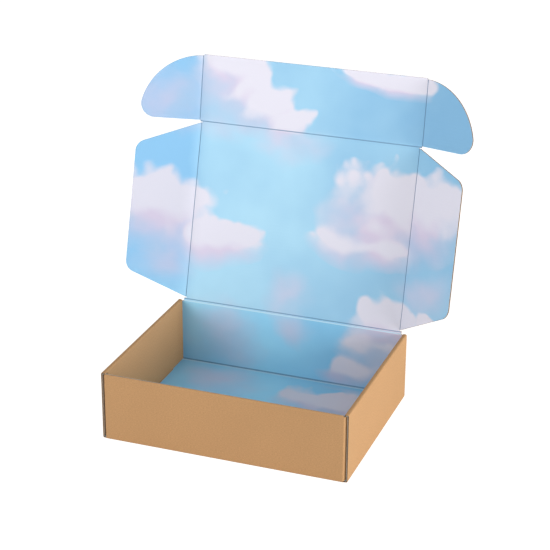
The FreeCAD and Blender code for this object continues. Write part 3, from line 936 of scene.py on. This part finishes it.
class MAILER_OT_lid(bpy.types.Operator):
    """Make the hinge strip, the lid panel and the tuck flap"""

    bl_idname = "mailer.lid"
    bl_label = "Lid and tuck flap"

    def execute(self, context):
        strip = (-HINGE_END, HINGE_END, CREASE, STRIP_WIDTH - CREASE)
        lid = (CREASE - WING_AXIS, WING_AXIS - CREASE, CREASE, LID_LENGTH - CREASE)
        tuck = (CREASE - EAR_AXIS, EAR_AXIS - CREASE, CREASE, TUCK_LENGTH)
        panels = (
            ("hinge_strip", "lid_hinge_strip", strip, strip_matrix(), LID_START - STRIP_WIDTH),
            ("lid", "lid_panel", lid, lid_matrix(), LID_START),
            ("tuck", "tuck_flap", tuck, tuck_matrix(), TUCK_START),
        )
        for name, body, box, matrix, start in panels:
            flat_panel(name, body, rectangle(*box), box, matrix,
                       lambda point, start=start: (point.x, start + point.y))
        return {"FINISHED"}


def round_off(sheet, centre, radius, start, finish, steps=9):
    """Round a sheet's corner by trimming it along lines that touch a circle."""
    for step in range(steps):
        turn = start + (finish - start) * (step + 0.5) / steps
        normal = Vector((math.cos(turn), math.sin(turn), 0))
        score(sheet, Vector((*centre, 0)) + normal * radius, normal, trim=True)


class MAILER_OT_wings(bpy.types.Operator):
    """Make the lid's two wings, with slanted edges and rounded corners"""

    bl_idname = "mailer.wings"
    bl_label = "Lid wings"

    def execute(self, context):
        low_slope = math.atan2(WING_LOW_END - WING_LOW, WING_DEPTH)
        high_slope = math.atan2(WING_HIGH - WING_HIGH_END, WING_DEPTH)
        low_normal = Vector((math.sin(low_slope), -math.cos(low_slope), 0))
        high_normal = Vector((math.sin(high_slope), math.cos(high_slope), 0))
        inset = WING_DEPTH - WING_CORNER
        low_centre = WING_LOW + inset * math.tan(low_slope) + WING_CORNER / math.cos(low_slope)
        high_centre = WING_HIGH - inset * math.tan(high_slope) - WING_CORNER / math.cos(high_slope)
        for side, name in ((-1, "left_wing"), (1, "right_wing")):
            sheet = rectangle(CREASE, WING_DEPTH, WING_LOW, WING_HIGH)
            score(sheet, (0, WING_LOW, 0), low_normal, trim=True)
            score(sheet, (0, WING_HIGH, 0), high_normal, trim=True)
            round_off(sheet, (inset, low_centre), WING_CORNER, low_slope - math.pi / 2, 0)
            round_off(sheet, (inset, high_centre), WING_CORNER, 0, math.pi / 2 - high_slope)
            bmesh.ops.scale(sheet, vec=(side, 1, 1), verts=sheet.verts)
            ends = sorted((side * CREASE, side * WING_DEPTH))
            matrix = side_matrix(lid_matrix(), WING_AXIS, side, rest_bend(f"{name}_fold"))
            flat_panel(f"{name}_panel", name, sheet, (*ends, WING_LOW, WING_HIGH), matrix,
                       lambda point, side=side: (side * WING_AXIS + point.x, LID_START + point.y))
        return {"FINISHED"}


class MAILER_OT_ears(bpy.types.Operator):
    """Make the tuck flap's two quarter-round ears"""

    bl_idname = "mailer.ears"
    bl_label = "Tuck flap ears"

    def execute(self, context):
        centre = Vector((*EAR_CENTRE, 0))
        corner_rise = EAR_FOOT + EAR_CORNER - EAR_CENTRE[1]
        corner_reach = math.sqrt((EAR_RADIUS - EAR_CORNER) ** 2 - corner_rise ** 2)
        corner = (EAR_CENTRE[0] + corner_reach, EAR_FOOT + EAR_CORNER)
        for side, name in ((-1, "left_ear"), (1, "right_ear")):
            sheet = bmesh.new()
            bmesh.ops.create_circle(sheet, cap_ends=True, segments=EAR_SEGMENTS, radius=EAR_RADIUS)
            bmesh.ops.translate(sheet, vec=centre, verts=sheet.verts)
            score(sheet, (CREASE, 0, 0), (-1, 0, 0), trim=True)
            score(sheet, (0, EAR_FOOT, 0), (0, -1, 0), trim=True)
            round_off(sheet, corner, EAR_CORNER, -math.pi / 2, math.atan2(corner_rise, corner_reach))
            bmesh.ops.scale(sheet, vec=(side, 1, 1), verts=sheet.verts)
            ends = sorted((side * CREASE, side * (EAR_RADIUS + EAR_CENTRE[0])))
            matrix = side_matrix(tuck_matrix(), EAR_AXIS, side, rest_bend(f"{name}_fold"))
            flat_panel(f"{name}_panel", name, sheet, (*ends, EAR_FOOT, EAR_TOP), matrix,
                       lambda point, side=side: (side * EAR_AXIS + point.x, TUCK_START + point.y))
        return {"FINISHED"}


def crease(name, joint, matrix, low, high, bend, printed, stretched=False):
    """A pressed crease, bent as far as its fold is at rest, between two places along the fold line."""
    board = bpy.context.scene.mailer_board
    strip = rectangle(-CREASE, CREASE, low, high)
    for step in range(1, CREASE_STEPS):
        score(strip, (-CREASE + 2 * CREASE * step / CREASE_STEPS, 0, 0), (1, 0, 0))
    pile = bmesh.new()
    lay(pile, strip, -HALF_BOARD, HALF_BOARD, KRAFT, CREASED)
    strip.free()
    groove = pile.verts.layers.float.new("groove")
    for vert in pile.verts:
        depth = 0.5 + 0.5 * math.cos(math.pi * vert.co.x / CREASE)
        # Most creases darken, partly crushed ink and partly painted shade; a stretched one takes a painted
        # highlight instead
        vert[groove] = -depth if stretched else depth
        if vert.co.z > 0:
            vert.co.z -= board.crease_depth * depth
        else:
            vert.co.z += BACK_PRESS * board.crease_depth * depth

    def placed(point):
        share = min(1.0, max(0.0, (point.x + BEND_REACH) / (2 * BEND_REACH)))
        turn = bend * share * share * (3 - 2 * share)
        sine, cosine = math.sin(turn), math.cos(turn)
        bent = Vector((point.x * cosine - point.z * sine, point.y, point.x * sine + point.z * cosine))
        return matrix @ bent

    piece = finish_piece(pile, name, None, printed, placed)
    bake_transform(piece)


class MAILER_OT_creases(bpy.types.Operator):
    """Make the creases, bent as the lid's folds are at rest"""

    bl_idname = "mailer.creases"
    bl_label = "Creases"

    def execute(self, context):
        sideways = Matrix(((0, 1, 0), (1, 0, 0), (0, 0, 1))).to_4x4()
        lid, tuck, strip = lid_matrix(), tuck_matrix(), strip_matrix()
        wall = panel_matrix(joint_place("lid_lower_crease"), (0, 0, 1))
        strip_lean = math.atan2(strip[1][1], strip[2][1])
        lid_lean = math.atan2(lid[1][1], lid[2][1])
        folds = (
            ("lid_lower_crease", wall, -strip_lean, LID_START - STRIP_WIDTH),
            ("lid_upper_crease", strip @ Matrix.Translation((0, STRIP_WIDTH, 0)),
             strip_lean - lid_lean, LID_START),
            ("tuck_fold", lid @ Matrix.Translation((0, LID_LENGTH, 0)), rest_bend("tuck_fold"), TUCK_START),
        )
        # The hinge's lower crease takes a painted highlight; the others darken, partly as painted shade
        for joint, matrix, bend, start in folds:
            crease(f"{joint}_line", joint, matrix @ sideways, -HINGE_END, HINGE_END, bend,
                   lambda point, start=start: (point.y, start + point.x), joint == "lid_lower_crease")
        for side, word in ((-1, "left"), (1, "right")):
            flip = Matrix.Diagonal((side, 1, 1, 1))
            wing = lid @ Matrix.Translation((side * WING_AXIS, 0, 0)) @ flip
            crease(f"{word}_wing_line", f"{word}_wing_fold", wing, WING_LOW + WING_LINE_INSET,
                   WING_HIGH - WING_LINE_INSET, rest_bend(f"{word}_wing_fold"),
                   lambda point, side=side: (side * (WING_AXIS + point.x), LID_START + point.y))
            ear = tuck @ Matrix.Translation((side * EAR_AXIS, 0, 0)) @ flip
            crease(f"{word}_ear_line", f"{word}_ear_fold", ear, EAR_FOOT, EAR_TOP - EAR_LINE_INSET,
                   rest_bend(f"{word}_ear_fold"),
                   lambda point, side=side: (side * (EAR_AXIS + point.x), TUCK_START + point.y))
        return {"FINISHED"}


def add_lamp(name, place, target, size, power):
    """A square lamp that faces a point."""
    lamp = bpy.data.lights.new(name, "AREA")
    lamp.size = size
    lamp.energy = power
    holder = bpy.data.objects.new(name, lamp)
    holder.location = place
    holder.rotation_euler = (Vector(target) - Vector(place)).to_track_quat("-Z", "Y").to_euler()
    bpy.context.scene.collection.objects.link(holder)


class MAILER_OT_stage(bpy.types.Operator):
    """Set up the floor, the lamps, the surroundings and the camera"""

    bl_idname = "mailer.stage"
    bl_label = "Stage"

    def execute(self, context):
        scene = context.scene
        settings = scene.mailer_stage
        sheet = rectangle(-FLOOR_REACH, FLOOR_REACH, -FLOOR_REACH, FLOOR_REACH)
        mesh = bpy.data.meshes.new("floor")
        sheet.to_mesh(mesh)
        sheet.free()
        mesh.materials.append(floor_material(settings))
        floor = bpy.data.objects.new("floor", mesh)
        scene.collection.objects.link(floor)

        world = bpy.data.worlds.new("surroundings")
        scene.world = world
        world.use_nodes = True
        tree = world.node_tree
        background = tree.nodes["Background"]
        seen = tree.nodes.new("ShaderNodeBackground")
        seen.inputs["Color"].default_value = (1, 1, 1, 1)
        background.inputs["Color"].default_value = (1.0, 0.99, 0.97, 1)
        background.inputs["Strength"].default_value = settings.world_level
        mix = tree.nodes.new("ShaderNodeMixShader")
        tree.links.new(seen_directly(tree), mix.inputs["Fac"])
        tree.links.new(background.outputs[0], mix.inputs[1])
        tree.links.new(seen.outputs[0], mix.inputs[2])
        tree.links.new(mix.outputs[0], tree.nodes["World Output"].inputs["Surface"])

        add_lamp("front_lamp", FRONT_LAMP_PLACE, LAMP_TARGET, FRONT_LAMP_SIZE, settings.front_power)
        add_lamp("side_lamp", SIDE_LAMP_PLACE, LAMP_TARGET, SIDE_LAMP_SIZE, settings.side_power)

        azimuth, elevation = settings.azimuth, settings.elevation
        forward = Vector((-math.sin(azimuth) * math.cos(elevation),
                          math.cos(azimuth) * math.cos(elevation), -math.sin(elevation)))
        level = Vector((math.cos(azimuth), math.sin(azimuth), 0))
        upright = level.cross(forward)
        right = math.cos(settings.roll) * level + math.sin(settings.roll) * upright
        up = math.cos(settings.roll) * upright - math.sin(settings.roll) * level
        lens = bpy.data.cameras.new("camera")
        lens.lens = settings.lens
        lens.sensor_width = SENSOR_WIDTH
        lens.clip_start, lens.clip_end = CLIP_NEAR, CLIP_FAR
        camera = bpy.data.objects.new("camera", lens)
        camera.matrix_world = Matrix((right, up, -forward)).transposed().to_4x4()
        camera.location = Vector(settings.target) - forward * settings.distance
        scene.collection.objects.link(camera)
        scene.camera = camera
        scene.view_settings.view_transform = "Standard"
        return {"FINISHED"}


OPERATORS = (MAILER_OT_bottom, MAILER_OT_walls, MAILER_OT_sides, MAILER_OT_lid, MAILER_OT_wings,
             MAILER_OT_ears, MAILER_OT_creases, MAILER_OT_stage)


class MAILER_PT_panel(bpy.types.Panel):
    """Lists the mailer box's groups of pieces and their settings"""

    bl_idname = "MAILER_PT_panel"
    bl_label = "Mailer box"
    bl_space_type = "VIEW_3D"
    bl_region_type = "UI"
    bl_category = "Mailer box"

    def draw(self, context):
        """List a button for each group of pieces, and then every setting."""
        for operator in OPERATORS:
            self.layout.operator(operator.bl_idname)
        for settings in (context.scene.mailer_board, context.scene.mailer_colours,
                         context.scene.mailer_stage):
            for name in settings.__annotations__:
                self.layout.prop(settings, name)


CLASSES = (MailerBoardSettings, MailerColourSettings, MailerStageSettings, *OPERATORS, MAILER_PT_panel)


def register():
    """Register the classes and hang the settings on the scene."""
    for item in CLASSES:
        bpy.utils.register_class(item)
    bpy.types.Scene.mailer_board = bpy.props.PointerProperty(type=MailerBoardSettings)
    bpy.types.Scene.mailer_colours = bpy.props.PointerProperty(type=MailerColourSettings)
    bpy.types.Scene.mailer_stage = bpy.props.PointerProperty(type=MailerStageSettings)


def unregister():
    """Take the settings off the scene and unregister the classes."""
    del bpy.types.Scene.mailer_board
    del bpy.types.Scene.mailer_colours
    del bpy.types.Scene.mailer_stage
    for item in reversed(CLASSES):
        bpy.utils.unregister_class(item)


def main():
    """Make every group of pieces and the stage."""
    register()
    bpy.ops.mailer.bottom()
    bpy.ops.mailer.walls()
    bpy.ops.mailer.sides()
    bpy.ops.mailer.lid()
    bpy.ops.mailer.wings()
    bpy.ops.mailer.ears()
    bpy.ops.mailer.creases()
    bpy.ops.mailer.stage()


if __name__ == "__main__":
    main()
